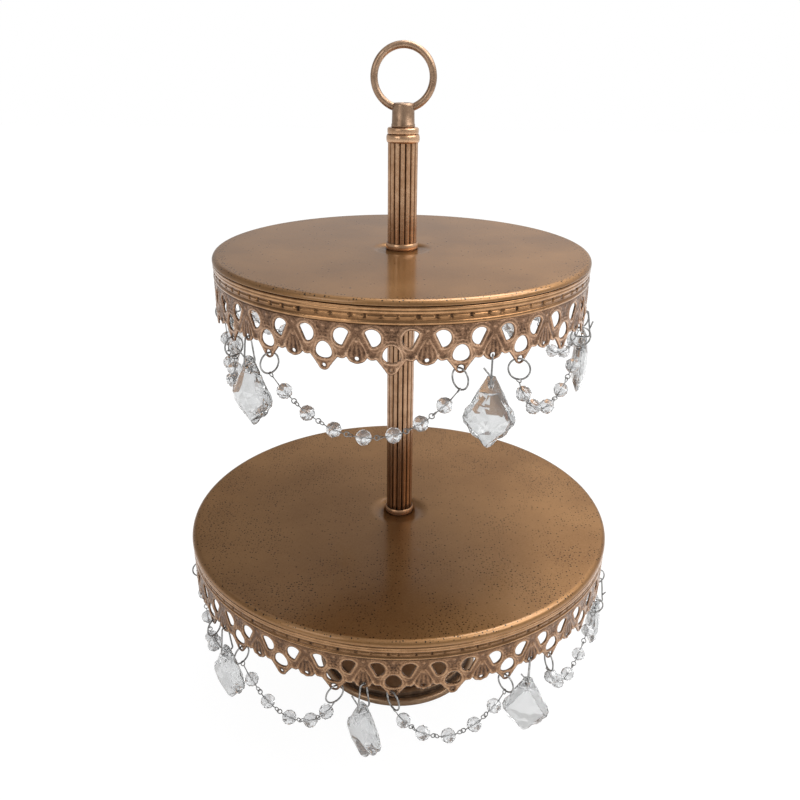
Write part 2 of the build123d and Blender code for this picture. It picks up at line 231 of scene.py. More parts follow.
def dimmed(stops, shares):
    # the same stops with each of red, green and blue times its share, for copies that carry painted shade
    return [(place, tuple(share * c for share, c in zip(shares, colour))) for place, colour in stops]


# colours from the hollows to the ridges
laceStops = [
    (0.0, (0.032, 0.016, 0.009)), (0.35, (0.172, 0.094, 0.054)),
    (0.7, (0.29, 0.170, 0.102)), (1.0, (0.46, 0.295, 0.19)),
]
bandStops = [
    (0.0, (0.026, 0.012, 0.005)), (0.3, (0.112, 0.054, 0.022)),
    (0.7, (0.232, 0.119, 0.051)), (1.0, (0.37, 0.206, 0.10)),
]
columnStops = [
    (0.0, (0.026, 0.012, 0.005)), (0.4, (0.19, 0.096, 0.045)),
    (0.75, (0.41, 0.228, 0.122)), (1.0, (0.56, 0.35, 0.21)),
]
footStops = [
    (0.0, (0.050, 0.028, 0.015)), (0.4, (0.20, 0.118, 0.064)),
    (0.8, (0.33, 0.208, 0.122)), (1.0, (0.42, 0.28, 0.17)),
]
brassStops = [
    (0.0, (0.055, 0.033, 0.021)), (0.4, (0.205, 0.128, 0.080)),
    (0.7, (0.35, 0.228, 0.148)), (1.0, (0.50, 0.345, 0.235)),
]
# stops, the grain's scale and share, metallic, roughness on the ridges and in the hollows
goldFinishes = dict(
    laceGold=(laceStops, 1500.0, 0.21, 0.86, 0.14, 0.36),
    # darker, greyer copies of the lace and band gold for the lower tier: painted shade
    laceDark=(dimmed(laceStops, (0.74, 0.70, 0.62)), 1500.0, 0.21, 0.86, 0.18, 0.38),
    bandGold=(bandStops, 420.0, 0.08, 0.88, 0.16, 0.40),
    bandPaintedShade=(dimmed(bandStops, (0.82, 0.82, 0.82)), 420.0, 0.08, 0.88, 0.18, 0.42),
    columnGold=(columnStops, 500.0, 0.08, 0.88, 0.26, 0.46),
    # a darker copy of the column gold for the stem and lower column: painted shade under the plates
    columnDark=(dimmed(columnStops, (0.58, 0.57, 0.57)), 500.0, 0.08, 0.88, 0.18, 0.42),
    footGold=(footStops, 500.0, 0.08, 0.62, 0.28, 0.44),
    brassWorn=(brassStops, 420.0, 0.11, 0.85, 0.30, 0.46),
)
gold = {name: makeReliefGold(name, *finish) for name, finish in goldFinishes.items()}

drawnWire = dict(patchScale=700.0, rough=(0.42, 0.26), streakScale=3000.0, bump=(0.12, 0.0001))


def makeWire(name, dark, pale, metallic):
    # drawn wire: dull grey with faint streaks and darker patches
    material, tree, shader = newMaterial(name)
    where = objectPlace(tree)
    patch = noise(tree, where, drawnWire["patchScale"])
    feed(tree, shader, [
        ("Base Color", ramp(tree, patch, list(zip(noiseRange, (dark, pale))))),
        ("Metallic", metallic),
        ("Roughness", span(tree, patch, *noiseRange, *drawnWire["rough"])),
    ])
    bumpFrom(tree, shader, noise(tree, where, drawnWire["streakScale"], 2.0), *drawnWire["bump"])
    return material


wireGrey = makeWire("wireGrey", (0.13, 0.126, 0.12), (0.36, 0.355, 0.35), 0.88)
zincSteel = makeWire("zincSteel", (0.30, 0.29, 0.27), (0.52, 0.51, 0.48), 0.95)

cutGlass = dict(smearScale=260.0, smearBlend=(0.55, 0.8, 0.0, 0.07))


def makeCrystal(name, tint, clear, ior):
    # cut glass, a little milky, with faint smears that soften a few facets
    material, tree, shader = newMaterial(name)
    smear = noise(tree, objectPlace(tree), cutGlass["smearScale"])
    feed(tree, shader, [
        ("Base Color", opaque(tint)),
        ("Transmission Weight", clear),
        ("IOR", ior),
        ("Roughness", span(tree, smear, *cutGlass["smearBlend"])),
    ])
    return material


crystalGlass = makeCrystal("crystalGlass", (0.785, 0.79, 0.79), 0.90, 1.50)
beadGlass = makeCrystal("beadGlass", (0.92, 0.925, 0.93), 0.86, 1.48)
print("materials:", len(bpy.data.materials))

# surfaces


def pieceName(node):
    # the node's words run together, each after the first with a capital
    first, *others = node.split("_")
    return first + "".join(word.capitalize() for word in others)


def putPiece(
    node, points, faces, material, slot="antique_gold", body="stand", name=None, smooth=True, relief=None,
):
    # a mesh that stands for a CAD node: points are rows of x, y, z in mm, faces a list of index arrays, one
    # for each corner count, and relief one number for all points or one for each
    name = name or pieceName(node)
    corners = np.concatenate([f.ravel() for f in faces]).astype(np.int32)
    counts = np.concatenate([np.full(len(f), f.shape[1]) for f in faces])
    starts = (np.cumsum(counts) - counts).astype(np.int32)
    mesh = bpy.data.meshes.new(name)
    mesh.vertices.add(len(points))
    mesh.vertices.foreach_set("co", (np.asarray(points) * metres).astype(np.float32).ravel())
    mesh.loops.add(len(corners))
    mesh.loops.foreach_set("vertex_index", corners)
    mesh.polygons.add(len(starts))
    mesh.polygons.foreach_set("loop_start", starts)
    mesh.polygons.foreach_set("use_smooth", np.full(len(starts), smooth))
    if relief is not None:
        layer = mesh.attributes.new("relief", "FLOAT", "POINT")
        layer.data.foreach_set("value", np.broadcast_to(np.ravel(relief), len(points)).astype(np.float32))
    mesh.update(calc_edges=True)
    mesh.validate()
    piece = bpy.data.objects.new(name, mesh)
    bpy.context.scene.collection.objects.link(piece)
    mesh.materials.append(material)
    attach(piece, body)
    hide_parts(node)


def gridQuads(rows, columns, wrapRows=False, wrapColumns=False):
    # four corners of each cell of a grid that is numbered row by row
    row, column = np.meshgrid(
        np.arange(rows if wrapRows else rows - 1),
        np.arange(columns if wrapColumns else columns - 1),
        indexing="ij",
    )
    nextColumn = (column + 1) % columns
    start, nextStart = row * columns, (row + 1) % rows * columns
    quads = [start + column, start + nextColumn, nextStart + nextColumn, nextStart + column]
    return np.stack(quads, -1).reshape(-1, 4)


def arc(centreR, centreZ, radius, fromDegrees, toDegrees, count):
    # points on a circle in the half plane of radius and height
    a = np.radians(np.linspace(fromDegrees, toDegrees, count))
    return np.stack([centreR + radius * np.cos(a), centreZ + radius * np.sin(a)], -1)


def spinProfile(profile, segments, wave=None):
    # a closed profile of (radius, height), anticlockwise, carried round the upright axis;
    # wave adds to the radius by profile point and angle
    turn = np.linspace(0, 2 * np.pi, segments, endpoint=False)
    r = profile[:, :1] + (0 if wave is None else wave(profile, turn))
    r = np.broadcast_to(r, (len(profile), segments))
    points = np.stack([r * np.sin(turn), -r * np.cos(turn), np.broadcast_to(profile[:, 1:], r.shape)], -1)
    return points.reshape(-1, 3), gridQuads(len(profile), segments, True, True)


def fromAxis(points):
    # level distance of each point from the upright axis
    return np.hypot(points[:, 0], points[:, 1])


def putTurned(node, profile, segments, material, slot="antique_gold", wave=None, tone=None, smooth=True):
    # a spun profile as a piece; tone gives the relief from the distance to the axis and the height
    points, quads = spinProfile(profile, segments, wave)
    relief = tone and tone(fromAxis(points), points[:, 2])
    putPiece(node, points, [quads], material, slot, smooth=smooth, relief=relief)


def unit(rows):
    # each row divided by its length
    return rows / np.linalg.norm(rows, axis=-1, keepdims=True)


def tubes(paths, side, radius, sides, closed):
    # round wire along many paths at once: path point plus radius times (cos a along side + sin a along
    # tangent x side); paths is (count, points, 3) and side is one steady direction square to each path
    ahead = np.roll(paths, -1, 1) - np.roll(paths, 1, 1) if closed else np.gradient(paths, axis=1)
    side = np.broadcast_to(side[:, None, :], paths.shape)
    across = np.cross(unit(ahead), side)
    a = np.linspace(0, 2 * np.pi, sides, endpoint=False)
    ring = side[:, :, None] * np.cos(a)[:, None] + across[:, :, None] * np.sin(a)[:, None]
    points = paths[:, :, None] + radius * ring
    count, length = paths.shape[:2]
    quads = gridQuads(length, sides, closed, True)[:, ::-1]
    block = length * sides * np.arange(count)[:, None, None]
    faces = [(quads + block).reshape(-1, 4)]
    if not closed:  # flat ends
        ends = np.stack([np.arange(sides), (length - 1) * sides + np.arange(sides)[::-1]])
        faces.append((ends + block).reshape(-1, sides))
    return points.reshape(-1, 3), faces


def joinParts(parts):
    # several (points, faces) put one after another
    offset, points, byCorners = 0, [], {}
    for partPoints, partFaces in parts:
        for f in partFaces:
            byCorners.setdefault(f.shape[1], []).append(f + offset)
        points.append(partPoints)
        offset += len(partPoints)
    return np.concatenate(points), [np.concatenate(v) for v in byCorners.values()]


def outward(angle):
    # level direction out from the axis, (sin a, -cos a, 0), with the front at 0 degrees
    a = np.radians(angle)
    return np.stack([np.sin(a), -np.cos(a), np.zeros_like(a)], -1)


def alongRim(angle):
    # level direction along the rim, (cos a, sin a, 0)
    a = np.radians(angle)
    return np.stack([np.cos(a), np.sin(a), np.zeros_like(a)], -1)


def ridge(distance, tall, place, width):
    # a bell-shaped ridge: tall times e to the minus square of the distance from its place
    return tall * np.exp(-((distance - place) / width) ** 2)


def plateau(distance, width):
    # a spot with a flat top: e to the minus fourth power of the distance
    return np.exp(-(distance / width) ** 4)


# plates

plate = dict(
    sheet=1.5, strip=1.55, rimDepth=12.0, rimWall=1.2, seat=(8.85, 0.4), segments=288,
    fold=(2.0, 0.6), edge=0.2, joint=0.25, lip=0.6, shoulderArc=(-6, 90, 13), topRings=12, topStart=1.0,
)


def plateProfile(radius, top, shoulder):
    # underside, turned-down rim, quarter-round shoulder and top, as one closed outline
    rim = radius - plate["strip"]
    wall, edge = rim - plate["rimWall"], plate["edge"]
    under, bottom, ledge = top - plate["sheet"], top - plate["rimDepth"], top - shoulder - plate["joint"]
    foldEnd, foldMiddle = plate["fold"]
    below = np.array([
        (rodBore, under), (wall - foldEnd, under), (wall - foldMiddle, under - foldMiddle),
        (wall, under - foldEnd), (wall, bottom + edge), (wall + edge, bottom),
        (rim - edge, bottom), (rim, bottom + edge), (rim, ledge), (radius - plate["lip"], ledge),
    ])
    turned = arc(radius - shoulder, top - shoulder, shoulder, *plate["shoulderArc"])
    seatRadius, seatDepth = plate["seat"]
    inwards = np.linspace(radius - shoulder - plate["topStart"], seatRadius, plate["topRings"])
    seat = [(seatRadius, top - seatDepth), (rodBore, top - seatDepth)]
    return np.concatenate([below, turned, np.stack([inwards, np.full(len(inwards), top)], -1), seat])


for tier, t in tiers.items():
    lacquer = makePlateGold(f"{tier}PlateGold", t["radius"], *t["specks"])
    putTurned(f"{tier}_plate", plateProfile(t["radius"], t["top"], t["shoulder"]), plate["segments"], lacquer)
print("plates done")

# bands of the skirts

band = dict(
    joint=0.15, bottom=12.3, inner=1.5, perRepeat=64, rows=54, dashes=4, gather=0.7,
    # place below the plate's top and how far inside the plate's radius, from rib to groove
    ribs=[(2.55, 1.0), (3.0, 1.0), (3.35, 0.22), (3.8, 0.10), (4.3, 0.14), (4.65, 0.36), (5.0, 0.14),
          (5.6, 0.10), (6.2, 0.26), (6.6, 0.62), (7.0, 0.60), (7.6, 0.20), (8.2, 0.50), (8.9, 0.50),
          (9.3, 0.74), (9.7, 0.38), (10.5, 0.08), (11.3, 0.36), (11.8, 1.0), (12.3, 1.05)],
    # pits that break the thin middle rib; each has its own shift, and a least and an added depth and width
    pitFrom=6.8, pitTo=8.6, pit=0.85, pitWidth=0.085, pitShift=0.22, pitSeed=11,
    pitDepths=(0.4, 0.6), pitWidths=(0.7, 0.9),
    wobbles=[(0.06, 2.4, 0.0), (0.05, 0.7, 1.0)],  # height, rate and start of each wave along the rim
    crest=1.05, shade=0.95, backTone=0.4,
)


def softLine(places, values, where, smear=0.12):
    # straight lines between the given points, averaged over a short stretch so that corners turn round
    reach = np.linspace(-2 * smear, 2 * smear, 9)
    weight = np.exp(-0.5 * (reach / smear) ** 2)
    return sum(w * np.interp(where + d, places, values) for d, w in zip(reach, weight)) / weight.sum()


def makeBand(t):
    # inset below the rim is the rib line, squeezed to start under the plate's shoulder and deepened at pits
    top, bottom, dashes = t["shoulder"] + band["joint"], band["bottom"], band["dashes"]
    ribPlaces, ribInsets = np.array(band["ribs"]).T
    squeeze = (bottom - top) / (bottom - ribPlaces[0])
    down = np.linspace(top, bottom, band["rows"])
    inset = softLine(bottom - squeeze * (bottom - ribPlaces), ribInsets, down)
    columns = t["repeats"] * band["perRepeat"]
    # in dashes along the rim, gathered by a sine towards the pits at each half
    along = np.arange(columns) / band["perRepeat"] * dashes
    along = along + band["gather"] * np.sin(2 * np.pi * along) / (2 * np.pi)
    place = along + sum(tall * np.sin(along * rate + start) for tall, rate, start in band["wobbles"])
    # each pit has its own place, width and depth
    shift, wide, deep = np.random.default_rng(band["pitSeed"]).uniform(size=(3, t["repeats"] * dashes))
    dash = np.floor(place).astype(int) % len(deep)
    fromPit = place % 1 - 0.5 - band["pitShift"] * (shift[dash] - 0.5)
    leastDepth, moreDepth = band["pitDepths"]
    leastWidth, moreWidth = band["pitWidths"]
    pit = (leastDepth + moreDepth * deep[dash]) * plateau(
        fromPit, band["pitWidth"] * (leastWidth + moreWidth * wide[dash])
    )
    middle = bottom - squeeze * (bottom - (band["pitFrom"] + band["pitTo"]) / 2)
    inRow = plateau(down - middle, 0.5 * squeeze * (band["pitTo"] - band["pitFrom"]))
    inset = inset[:, None] + band["pit"] * inRow[:, None] * pit
    relief = np.clip(band["crest"] - band["shade"] * inset, 0, 1)
    inset = np.concatenate([inset, np.full((2, columns), band["inner"])])
    relief = np.concatenate([relief, np.full((2, columns), band["backTone"])])
    down = np.concatenate([down, [bottom, top]])
    direction = outward(t["frontTab"] + along / (dashes * t["repeats"]) * 360)
    points = (t["radius"] - inset)[..., None] * direction + (t["top"] - down)[:, None, None] * upright
    quads = gridQuads(len(down), columns, True, True)[:, ::-1]
    return points.reshape(-1, 3), quads, relief


for tier, t in tiers.items():
    points, quads, relief = makeBand(t)
    putPiece(f"{tier}_skirt", points, [quads], gold[t["band"]], name=f"{tier}Band", relief=relief)
print("bands done")

# lace of the skirts

lace = dict(
    start=11.7, end=35.6, inner=1.3, sheet=0.5, step=0.52, middle=0.4,
    # openings and edge: place across from the fan or the tab, place down from the plate's top, radius
    eye=(6.95, 17.95, 4.1), eyeLine=((3.4, 14.9), (6.9, 22.1)), arch=(25.1, 4.0), archLean=0.055,
    # punched holes: place down, radius where a hook or ring hangs, radius of the empty ones
    smallHole=(27.9, 1.3, 1.0), tabHole=(32.5, 1.6, 0.9),
    sheetEnd=26.2, lobe=(24.88, 5.42), bump=(7.2, 25.2, 3.1), tip=(31.9, 3.05),
    bell=((7.4, 27.2), (3.0, 32.6)), creases=dict(eye=0.7, lobe=0.3, bump=0.4, tip=1.4, tab=0.6),
    # rims are height, place inside their edge and width
    ground=0.10, rim=(0.42, 0.75, 0.55), rimFade=1.2, eyeRim=(0.22, 2.35, 0.42), eyeRimSide=0.6,
    archRim=(0.26, 2.3, 0.45), archRimEnd=27.5, fanSide=((0.6, 17.5), (5.2, 25.6)), fanRim=(0.30, 0.0, 0.42),
    petals=dict(root=14.0, start=21.8, blend=3, rate=30.0, height=0.17),
    # dots are side, place down, radius and height; pits are place across from the tab, place down and radius
    dots=[("u", 19.6, 0.8, 0.30), ("u", 13.8, 0.75, 0.28), ("v", 13.4, 0.75, 0.26)],
    pits=[(1.5, 14.9, 0.55), (2.9, 14.4, 0.5), (0.8, 16.6, 0.55), (2.3, 16.5, 0.5), (1.4, 18.3, 0.55),
          (3.3, 18.0, 0.45), (0.5, 19.6, 0.45), (2.4, 19.7, 0.45)],
    pitDepth=0.30,
    # how corners move onto an edge: times, share of the way, probe for the slope, least slope, furthest move
    rounds=5, pull=0.8, probe=0.02, leastSlope=0.3, furthest=0.3,
    groundTone=0.14, fullRelief=0.62, backTone=0.35,
)


def softMin(a, b, k):
    # the smaller of two distances, with the crease rounded over k
    h = np.clip(0.5 + 0.5 * (b - a) / k, 0, 1)
    return b + (a - b) * h - k * h * (1 - h)


def besideLine(u, s, start, end):
    # signed distance from the line through two points, positive to the left of its run down the strip
    du, ds = end[0] - start[0], end[1] - start[1]
    return ((s - start[1]) * du - (u - start[0]) * ds) / math.hypot(du, ds)


def laceParts(u, s, strip):
    # distances in mm from the openings and the scalloped lower edge of one repeat, negative inside each;
    # u runs along the strip from the middle of a fan, s down from the plate's top
    pitch, crease = strip["pitch"], lace["creases"]
    smallRadius = strip["smallRadii"][np.floor(u / pitch + 0.5).astype(int) % len(strip["smallRadii"])]
    tabRadius = strip["tabRadii"][np.floor(u / pitch + 1).astype(int) % len(strip["tabRadii"])]
    u = np.abs((u + pitch / 2) % pitch - pitch / 2)
    v = pitch / 2 - u
    eyeU, eyeS, eyeR = lace["eye"]
    slant = besideLine(u, s, *lace["eyeLine"])
    eye = -softMin(eyeR - np.hypot(u - eyeU, s - eyeS), -slant, crease["eye"])
    archS, archR = lace["arch"]
    arch = np.hypot(v * (1 - lace["archLean"] * (s - archS)), s - archS) - archR
    holes = np.minimum(
        np.hypot(u, s - lace["smallHole"][0]) - smallRadius,
        np.hypot(v, s - lace["tabHole"][0]) - tabRadius,
    )
    lobeS, lobeR = lace["lobe"]
    edge = softMin(s - lace["sheetEnd"], np.hypot(u, s - lobeS) - lobeR, crease["lobe"])
    bumpU, bumpS, bumpR = lace["bump"]
    edge = softMin(edge, np.hypot(u - bumpU, s - bumpS) - bumpR, crease["bump"])
    tipS, tipR = lace["tip"]
    bell = np.maximum(-besideLine(v, s, *lace["bell"]), s - tipS)
    tab = softMin(bell, np.hypot(v, s - tipS) - tipR, crease["tip"])
    edge = softMin(edge, tab, crease["tab"])
    return dict(u=u, v=v, slant=slant, eye=eye, arch=arch, holes=holes, edge=edge)


def laceDepth(u, s, strip):
    # how far inside the metal a point is: negative in the openings and below the edge
    d = laceParts(u, s, strip)
    return np.minimum(np.minimum(d["eye"], d["arch"]), np.minimum(d["holes"], -d["edge"]))


def laceRelief(u, s, strip):
    # a rolled rim along every edge but the punched holes, a fainter second one round each eye and arch, a fan
    # of petals with a ridge down each side, round dots, and small pits between the eyes
    d = laceParts(u, s, strip)
    depth = np.minimum(np.minimum(d["eye"], d["arch"]), -d["edge"])
    h = lace["ground"] + ridge(depth, *lace["rim"]) * np.clip(d["holes"] / lace["rimFade"], 0, 1)
    h = h + ridge(d["eye"], *lace["eyeRim"]) * (d["slant"] < lace["eyeRimSide"])
    h = h + ridge(d["arch"], *lace["archRim"]) * (s < lace["archRimEnd"])
    (fanU, fanS), (endU, endS) = lace["fanSide"]
    onFan = (d["u"] < fanU + (endU - fanU) * (s - fanS) / (endS - fanS)) & (s > fanS)
    h = h + ridge(besideLine(d["u"], s, *lace["fanSide"]), *lace["fanRim"]) * (s > fanS) * (s < endS)
    petals = lace["petals"]
    spread = np.arctan2(d["u"], s - petals["root"])
    shown = 1 / (1 + np.exp(-(s - petals["start"]) * petals["blend"]))
    h = h + petals["height"] * onFan * shown * np.cos(spread * petals["rate"])
    for side, place, size, tall in lace["dots"]:
        h = h + tall * plateau(np.hypot(d[side], s - place), size)
    for v, place, size in lace["pits"]:
        h = h - lace["pitDepth"] * plateau(np.hypot(d["v"] - v, s - place), size)
    return np.maximum(h, 0)


def ontoEdge(u, s, strip):
    # points walk along the slope of the depth to where it is nought
    probe, furthest = lace["probe"], lace["furthest"]
    for _ in range(lace["rounds"]):
        slopeU = (laceDepth(u + probe, s, strip) - laceDepth(u - probe, s, strip)) / (2 * probe)
        slopeS = (laceDepth(u, s + probe, strip) - laceDepth(u, s - probe, strip)) / (2 * probe)
        steep = np.maximum(slopeU ** 2 + slopeS ** 2, lace["leastSlope"])
        move = lace["pull"] * laceDepth(u, s, strip) / steep
        u = u - np.clip(move * slopeU, -furthest, furthest)
        s = s - np.clip(move * slopeS, -furthest, furthest)
    return u, s


def makeLace(t):
    # a grid round the rim keeps the cells that lie in the metal; the corners left on an edge are moved onto
    # it, then the front carries the relief, the back is smooth and walls close the openings
    inner = t["radius"] - lace["inner"]
    middle = inner + lace["middle"]
    pitch = 2 * np.pi * middle / t["repeats"]
    tabs, garlandTabs = np.arange(t["repeats"]), np.array(t["garlands"]) % t["repeats"]
    strip = dict(
        pitch=pitch,
        tabRadii=np.where(np.isin(tabs, garlandTabs), *lace["tabHole"][1:]),
        smallRadii=np.where(np.isin(tabs, garlandTabs[:, 1]), *lace["smallHole"][1:]),
    )
    perRepeat = int(round(pitch / lace["step"] / 2)) * 2
    columns = perRepeat * t["repeats"]
    rows = int(round((lace["end"] - lace["start"]) / lace["step"])) + 1
    s, u = np.meshgrid(
        np.linspace(lace["start"], lace["end"], rows), np.arange(columns) * pitch / perRepeat, indexing="ij",
    )
    halfU, halfS = 0.5 * pitch / perRepeat, 0.5 * (lace["end"] - lace["start"]) / (rows - 1)
    keep = laceDepth(u[:-1] + halfU, s[:-1] + halfS, strip) > 0
    cellsRound = np.zeros((rows, columns), int)
    for dr in (0, 1):
        for dc in (0, 1):
            cellsRound[dr:rows - 1 + dr] += np.roll(keep, dc, 1)
    onEdge = (cellsRound > 0) & (cellsRound < 4)
    onEdge[0] = False
    u[onEdge], s[onEdge] = ontoEdge(u[onEdge], s[onEdge], strip)
    h = laceRelief(u, s, strip)
    # the fan's middle lies half a repeat on from a tab
    direction = outward(t["frontTab"] + 180 / t["repeats"] + np.degrees(u / middle))
    height = (t["top"] - s)[..., None] * upright
    front = (inner + lace["sheet"] + h)[..., None] * direction + height
    back = inner * direction + height
    points = np.concatenate([front.reshape(-1, 3), back.reshape(-1, 3)])
    frontTone = np.clip(lace["groundTone"] + h / lace["fullRelief"], 0, 1)
    relief = np.concatenate([frontTone.ravel(), np.full(h.size, lace["backTone"])])
    number = np.arange(rows * columns).reshape(rows, columns)
    after = np.roll(number, -1, 1)
    a, b, c, d = number[:-1][keep], after[:-1][keep], after[1:][keep], number[1:][keep]
    quads = [np.stack([a, d, c, b], -1), np.stack([a, b, c, d], -1) + rows * columns]
    empty, noCells = ~keep, np.ones((1, columns), bool)
    sides = (
        (np.concatenate([noCells, empty[:-1]]), number[:-1], after[:-1]),
        (np.concatenate([empty[1:], noCells]), after[1:], number[1:]),
        (np.roll(empty, 1, 1), number[1:], number[:-1]),
        (np.roll(empty, -1, 1), after[:-1], after[1:]),
    )
    for beside, start, end in sides:
        wall = keep & beside
        p, q = start[wall], end[wall]
        quads.append(np.stack([p, q, q + rows * columns, p + rows * columns], -1))
    used, packed = np.unique(np.concatenate(quads), return_inverse=True)
    return points[used], packed.reshape(-1, 4), relief[used]


for tier, t in tiers.items():
    points, quads, relief = makeLace(t)
    print(tier, "lace:", 2 * len(quads), "triangles")
    putPiece(f"{tier}_skirt", points, [quads], gold[t["lace"]], name=f"{tier}Lace", relief=relief)

# reeded columns and their collars

column = dict(
    radius=7.8, bore=4.5, reeds=16, groove=0.68, grooveWidth=0.105, crown=0.20, perReed=24, rings=24,
    crest=0.92, shade=0.9,
    # bottom, length and finish
    # the stem and lower column take the darker copy of the gold, painted shade
    runs={"stem": (30.0, 82.5, "columnDark"), "lower_column": (113.6, 163.4, "columnDark"),
          "upper_column": (278.1, 59.2, "columnGold")},
)


def reeds(profile, turn):
    # low round reeds parted by narrow grooves: a bell-shaped groove plus a crown that falls off with the
    # square, on the outside of the tube alone
    place = np.abs((turn * column["reeds"] / (2 * np.pi)) % 1 - 0.5)
    depth = ridge(place, column["groove"], 0, column["grooveWidth"]) + column["crown"] * (1 - 2 * place) ** 2
    return -depth * (profile[:, :1] > column["bore"] + 1)


def reedTone(reach, height):
    # darker the deeper a point is sunk
    sunk = (column["radius"] - reach) / (column["groove"] + column["crown"])
    return np.clip(column["crest"] - column["shade"] * sunk, 0, 1)


for node, (bottom, length, finish) in column["runs"].items():
    heights = bottom + np.linspace(0, length, column["rings"])
    outer = np.stack([np.full(column["rings"], column["radius"]), heights], -1)
    inner = np.array([(column["bore"], bottom + length), (column["bore"], bottom)])
    putTurned(
        node, np.concatenate([outer, inner]), column["reeds"] * column["perReed"], gold[finish],
        wave=reeds, tone=reedTone,
    )

collar = dict(
    inner=7.85, wall=0.8, height=4.0, foot=0.25, lift=0.12, bead=(-78, 78, 15), segments=96,
    tone=(0.15, 0.95),
)


def collarProfile(bottom):
    # a half-round bead with a small foot at each end
    inner, top, lift = collar["inner"], bottom + collar["height"], collar["lift"]
    bulge = arc(0, 0, 1, *collar["bead"])
    r = inner + lift + (collar["wall"] - lift) * bulge[:, 0]
    z = bottom + collar["height"] / 2 * (1 + bulge[:, 1])
    return np.concatenate([
        [(inner, bottom), (inner + collar["foot"], bottom)], np.stack([r, z], -1),
        [(inner + collar["foot"], top), (inner, top)],
    ])


collars = []
for bottom, length, finish in column["runs"].values():
    for foot in (bottom, bottom + length - collar["height"]):
        points, quads = spinProfile(collarProfile(foot), collar["segments"])
        collars.append((points, [quads]))
points, faces = joinParts(collars)
# the collars' colour paints shade at their feet beside the column and a highlight on the bead's crest
bulge = np.clip((fromAxis(points) - collar["inner"]) / collar["wall"], 0, 1)
creaseShade, gain = collar["tone"]
putPiece("column_collars", points, faces, gold["columnGold"], relief=creaseShade + gain * bulge)
print("columns done")

# foot

footShape = dict(
    segments=224,
    rim=(50.0, 2.5, 2.5, -62, 118, 17), crease=(48.4, 4.95), bead=(46.3, 6.6, 2.3, -18, 120, 13),
    dome=[(43.8, 8.2), (42.5, 8.9), (37, 10.3), (28.5, 13.6), (21, 18.4), (16, 24), (14.2, 29.2), (12.6, 30)],
    neck=[(rodBore, 30.0), (rodBore, 28.4)],
    inside=[(11.6, 28.4), (13.2, 26.4), (15.0, 22.6), (19.8, 17.0), (27.8, 12.1), (36.5, 8.8), (42.0, 7.4),
            (44.6, 6.2), (45.4, 4.6), (47.0, 3.4), (48.6, 3.0), (49.5, 2.2), (49.5, 0.6), (49.6, 0)],
    # dark creases: radius, and the height above which they lie
    creases=[(48.4, 4.0), (44.1, 7.5)], creaseWidth=0.8, crest=0.8, shade=0.75,
)


def smoothRun(points, rounds=3):
    # cuts every corner at a quarter and three quarters, again and again, keeping both ends
    run = np.asarray(points, float)
    for _ in range(rounds):
        a, b = run[:-1], run[1:]
        cut = np.stack([0.75 * a + 0.25 * b, 0.25 * a + 0.75 * b], 1).reshape(-1, 2)
        run = np.concatenate([run[:1], cut, run[-1:]])
    return run


def footProfile():
    # rolled rim, a second bead, a dome that sweeps up to the neck, then the inside, a sheet's thickness in
    return np.concatenate([
        arc(*footShape["rim"]), [footShape["crease"]], arc(*footShape["bead"]), smoothRun(footShape["dome"]),
        footShape["neck"], smoothRun(footShape["inside"], 2),
    ])


def footTone(reach, height):
    # dark in the creases beside the bead
    width = footShape["creaseWidth"]
    hollow = sum(ridge(reach, 1, place, width) * (height > low) for place, low in footShape["creases"])
    return np.clip(footShape["crest"] - footShape["shade"] * hollow, 0, 1)


putTurned("foot", footProfile(), footShape["segments"], gold["footGold"], tone=footTone)

# finial: cap, boss and ring

finial = dict(
    # radius, bottom and top of the turned pieces; the ring's radius, wire radius and centre
    cap=(8.1, 337.3, 340.6), boss=(6.1, 340.6, 352.3), ring=(14.85, 1.85, 364.3), segments=96,
    capSoft=0.9, capFlat=7.0, capTones=(0.45, 0.95), bossTone=0.6, ringTone=0.62,
    bossSocket=5.7, bossEdge=0.3, bossLand=(1.5, 1.9), bossTaper=(0.25, 0.45), bossNeck=2.0, bossSoft=1.25,
    ringSteps=128, wireSides=20,
)


def turnedDisc(radius, bottom, top, soft):
    # a turned disc with rounded edges and the rod's bore
    return np.concatenate([
        [(rodBore, bottom)], arc(radius - soft, bottom + soft, soft, -90, 0, 6),
        arc(radius - soft, top - soft, soft, 0, 90, 6), [(rodBore, top)],
    ])


def bossProfile(radius, bottom, top):
    # a threaded socket below, a short straight land, then a slight taper up to a rounded top
    edge, soft, socketTop = finial["bossEdge"], finial["bossSoft"], bottom + finial["bossSocket"]
    (landTop, stepTop), (step, taper) = finial["bossLand"], finial["bossTaper"]
    return np.concatenate([
        [(nearAxis, socketTop), (rodBore, socketTop), (rodBore, bottom), (radius - edge, bottom)],
        [(radius, bottom + edge), (radius, bottom + landTop), (radius - step, bottom + stepTop)],
        [(radius - taper, top - finial["bossNeck"])],
        arc(radius - taper - soft, top - soft, soft, 0, 90, 7), [(nearAxis, top)],
    ])


def capTone(reach, height):
    # the edge is brighter than the flats
    flat, edge = finial["capTones"]
    return np.where(reach > finial["capFlat"], edge, flat)


def bossTone(reach, height):
    # the same all over
    return finial["bossTone"]


capProfile = turnedDisc(*finial["cap"], finial["capSoft"])
putTurned("finial_cap", capProfile, finial["segments"], gold["columnGold"], tone=capTone)
putTurned(
    "finial_boss", bossProfile(*finial["boss"]), finial["segments"], gold["brassWorn"], "pale_brass",
    tone=bossTone,
)
ringRadius, wireRadius, ringCentre = finial["ring"]
turn = np.linspace(0, 2 * np.pi, finial["ringSteps"], endpoint=False)
loop = np.stack([ringRadius * np.sin(turn), 0 * turn, ringCentre + ringRadius * np.cos(turn)], -1)
points, faces = tubes(loop[None], np.array([[0.0, 1.0, 0.0]]), wireRadius, finial["wireSides"], True)
putPiece("ring_handle", points, faces, gold["brassWorn"], "pale_brass", relief=finial["ringTone"])

# tie rod, nut and washer inside the foot

rod = dict(radius=3.0, bottom=19.8, top=346.0, thread=14.0, pitch=1.0, cut=0.35, perPitch=8, segments=40)


